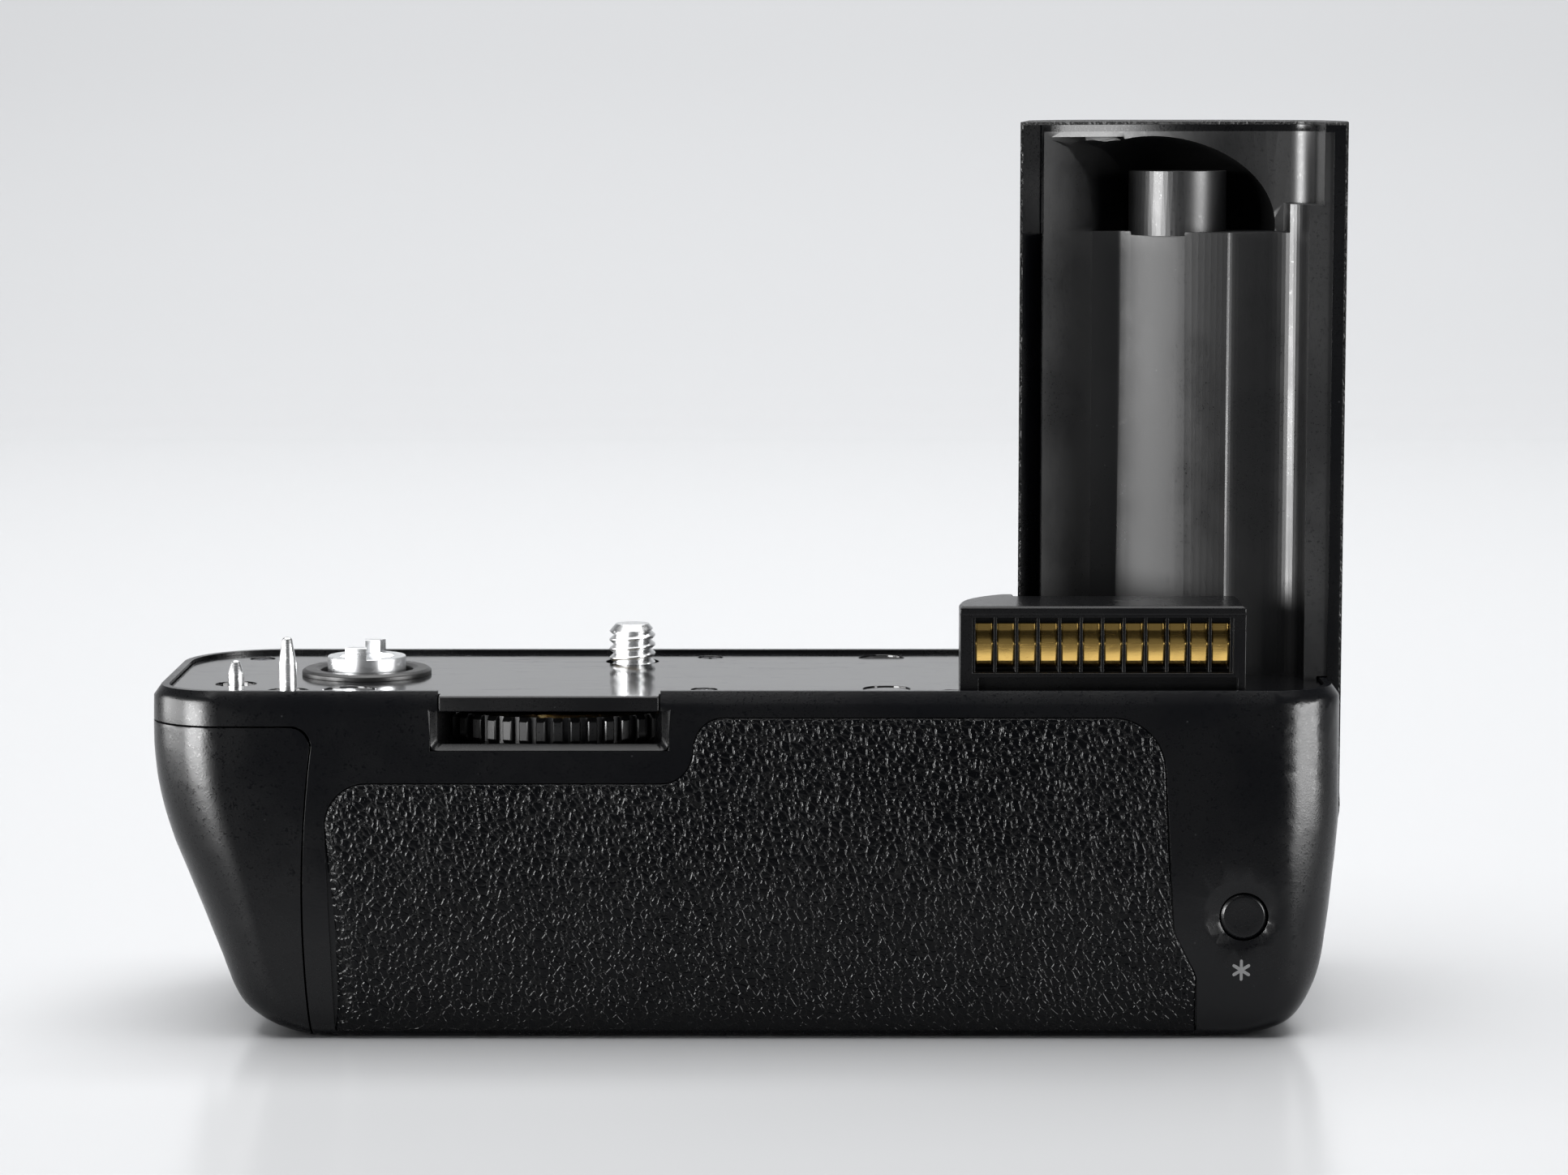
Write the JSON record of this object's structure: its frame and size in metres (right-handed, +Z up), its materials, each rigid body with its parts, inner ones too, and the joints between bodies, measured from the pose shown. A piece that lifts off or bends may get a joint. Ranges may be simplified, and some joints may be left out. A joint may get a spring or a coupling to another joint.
{
  "type": "camera power booster",
  "caption": "Battery power booster for under a single-lens reflex camera, with grip tower, contact block, film-drive coupler, thumbwheel and a draw-out battery magazine.",
  "frame": {"origin": "axis of the tripod socket in the plane of the base, which is also the axis of the attachment screw", "axes": "+X along the body towards the grip tower, +Y away from the viewer, +Z up towards the camera"},
  "size_m": [0.1599, 0.0668, 0.1193],
  "materials": {
    "black_plastic": "fine-grained satin",
    "liner_plastic": "smooth satin",
    "plate_black": "glossy black paint",
    "leather": "pebbled",
    "contact_gold": "gold plated",
    "chrome": "polished",
    "collar_black": "matte black",
    "dark_steel": "blackened",
    "base_metal": "satin black",
    "steel": "plain",
    "brass": "machined",
    "gear_white": "natural",
    "wheel_black": "satin",
    "board_green": "soldermask",
    "frame_plastic": "matte",
    "cell_metal": "wrapped"
  },
  "bodies": {
    "housing": {"main_housing": "black_plastic", "front_cover": "black_plastic", "top_plate": "plate_black", "grip_liner": "liner_plastic", "grip_leather": "leather", "rear_leather": "leather", "contact_block": "black_plastic", "contact_cover": "black_plastic", "contact_springs": "contact_gold", "short_guide_pin": "chrome", "tall_guide_pin": "chrome", "coupler_collar": "collar_black", "plate_screws": "dark_steel", "base_plate": "base_metal", "base_screws": "dark_steel", "tripod_socket": "steel", "mechanism_chassis": "steel", "wheel_axle": "steel", "idler_axle": "steel", "motor_can": "steel", "circuit_board": "board_green", "switch_board": "board_green", "dome_switch": "steel", "bay_contacts": "contact_gold", "dial_axle": "steel"},
    "wheel": {"attachment_wheel": "wheel_black", "wheel_gear": "brass"},
    "screw": {"attachment_screw": "chrome", "screw_gear": "brass"},
    "drive": {"drive_shaft": "steel", "drive_gear": "brass"},
    "dog": {"coupler_dog": "chrome"},
    "idler": {"idler_gear": "gear_white"},
    "rotor": {"motor_rotor": "steel"},
    "magazine": {"end_cover": "black_plastic", "magazine_bulkhead": "frame_plastic", "magazine_frame": "frame_plastic", "battery_cells": "cell_metal", "magazine_contacts": "contact_gold"},
    "key": {"lock_key": "collar_black", "lock_tongue": "steel"},
    "star": {"star_button": "wheel_black"},
    "release": {"shutter_button": "wheel_black"},
    "dial": {"control_dial": "wheel_black"},
    "switch": {"control_switch": "wheel_black"}
  },
  "joints": [
    {"name": "wheel_spin", "type": "hinge", "parent": "housing", "child": "wheel", "pos_m": [-0.00865, -0.01226, 0.04], "axis": [0, 0, 1], "continuous": true},
    {"name": "screw_spin", "type": "hinge", "parent": "housing", "child": "screw", "pos_m": [0, 0, 0.043], "axis": [0, 0, 1], "continuous": true},
    {"name": "drive_spin", "type": "hinge", "parent": "housing", "child": "drive", "pos_m": [-0.0354, -0.0128, 0.04], "axis": [0, 0, 1], "continuous": true},
    {"name": "dog_plunge", "type": "slide", "parent": "drive", "child": "dog", "axis": [0, 0, -1], "range_m": [0, 0.0013], "stiffness_N_per_m": 400, "springref_m": -0.002},
    {"name": "idler_spin", "type": "hinge", "parent": "housing", "child": "idler", "pos_m": [-0.02668, -0.00456, 0.037], "axis": [0, 0, 1], "continuous": true},
    {"name": "motor_spin", "type": "hinge", "parent": "housing", "child": "rotor", "pos_m": [-0.03, 0.0054, 0.03], "axis": [0, 0, 1], "continuous": true},
    {"name": "magazine_slide", "type": "slide", "parent": "housing", "child": "magazine", "axis": [-1, 0, 0], "range_m": [0, 0.114]},
    {"name": "key_turn", "type": "hinge", "parent": "magazine", "child": "key", "pos_m": [-0.055, -0.011, 0.021], "axis": [-1, 0, 0], "range_deg": [0, 90]},
    {"name": "star_press", "type": "slide", "parent": "housing", "child": "star", "axis": [0, 1, 0], "range_m": [0, 0.0008], "stiffness_N_per_m": 1500, "springref_m": -0.0005},
    {"name": "release_press", "type": "slide", "parent": "housing", "child": "release", "axis": [-0.7071, -0.7071, 0], "range_m": [0, 0.0012], "stiffness_N_per_m": 1000, "springref_m": -0.0005},
    {"name": "dial_spin", "type": "hinge", "parent": "housing", "child": "dial", "pos_m": [0.08617, 0.01717, 0.036], "axis": [-0.7071, 0.7071, 0], "continuous": true},
    {"name": "switch_turn", "type": "hinge", "parent": "housing", "child": "switch", "pos_m": [0.072, 0.0282, 0.03], "axis": [0, 1, 0], "range_deg": [0, 35]}
  ],
  "couplings": [
    {"joint": "screw_spin", "follows": "wheel_spin", "ratio": -1.5},
    {"joint": "idler_spin", "follows": "drive_spin", "ratio": -3},
    {"joint": "motor_spin", "follows": "drive_spin", "ratio": 9.6}
  ]
}
